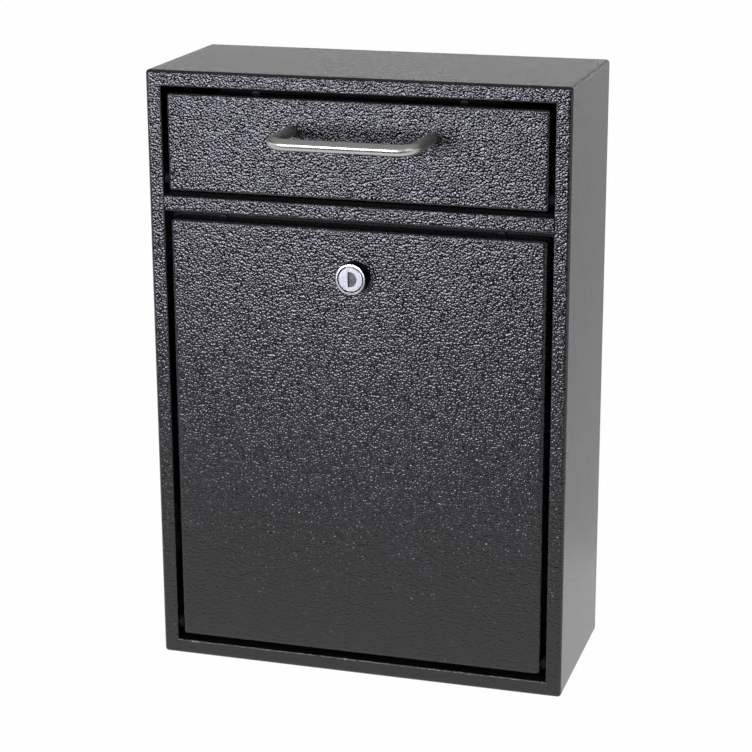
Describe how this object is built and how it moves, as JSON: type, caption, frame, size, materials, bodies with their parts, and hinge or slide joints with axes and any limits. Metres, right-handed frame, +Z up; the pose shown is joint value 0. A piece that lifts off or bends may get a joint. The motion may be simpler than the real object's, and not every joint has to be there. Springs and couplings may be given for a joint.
{
  "type": "locking mailbox",
  "caption": "Wall-mount steel drop box with a tilting hopper flap and wire pull above a drop-down door with a cam lock, in black textured powder coat.",
  "frame": {"origin": "middle of the underside that the case stands on, halfway across and halfway between the front plane and the back", "axes": "+Z up, +Y towards the wall, -Y towards the user, +X to the right as seen from the front"},
  "size_m": [0.2846, 0.1698, 0.4115],
  "materials": {
    "black_powder_coat": "black wrinkle-textured powder coat, semi-gloss",
    "satin_steel": "satin, brushed lengthwise",
    "bright_chrome": "polished chrome plate on zinc casting",
    "zinc_plated_steel": "bright zinc plate",
    "black_rubber": "matt black",
    "black_nylon": "turned black nylon"
  },
  "bodies": {
    "case": {"case_wrap": "black_powder_coat", "back_panel": "black_powder_coat", "mid_rail": "black_powder_coat", "hopper_stop": "black_powder_coat", "hopper_baffle": "black_powder_coat", "hopper_pin_left": "zinc_plated_steel", "hopper_pin_right": "zinc_plated_steel", "hopper_spacer_left": "black_nylon", "hopper_spacer_right": "black_nylon", "door_pin_left": "zinc_plated_steel", "door_pin_right": "zinc_plated_steel", "door_spacer_left": "black_nylon", "door_spacer_right": "black_nylon", "hopper_bumpers": "black_rubber", "door_bumpers": "black_rubber"},
    "hopper": {"hopper_panel": "black_powder_coat", "hopper_tray": "black_powder_coat", "tray_rivets": "zinc_plated_steel", "pull_handle": "satin_steel", "handle_screws": "zinc_plated_steel", "handle_washers": "zinc_plated_steel"},
    "door": {"door_panel": "black_powder_coat", "lock_housing": "bright_chrome", "lock_washer": "zinc_plated_steel", "lock_nut": "zinc_plated_steel"},
    "lock_core": {"lock_plug": "bright_chrome", "stop_disc": "zinc_plated_steel", "lock_cam": "zinc_plated_steel", "cam_washer": "zinc_plated_steel", "cam_screw": "zinc_plated_steel"},
    "dust_shutter": {"keyway_shutter": "satin_steel"}
  },
  "joints": [
    {"name": "hopper_tilt", "type": "hinge", "parent": "case", "child": "hopper", "pos_m": [0, -0.0532, 0.3393], "axis": [1, 0, 0], "range_deg": [0, 45]},
    {"name": "door_swing", "type": "hinge", "parent": "case", "child": "door", "pos_m": [0, -0.0532, 0.022], "axis": [1, 0, 0], "range_deg": [0, 90]},
    {"name": "key_turn", "type": "hinge", "parent": "door", "child": "lock_core", "pos_m": [0, -0.0597, 0.282], "axis": [0, 1, 0], "range_deg": [0, 90]},
    {"name": "shutter_swing", "type": "hinge", "parent": "lock_core", "child": "dust_shutter", "pos_m": [-0.00115, -0.0679, 0.282], "axis": [0, 0, 1], "range_deg": [0, 85], "stiffness_Nm_per_rad": 0.0004, "springref_deg": -20.05}
  ]
}
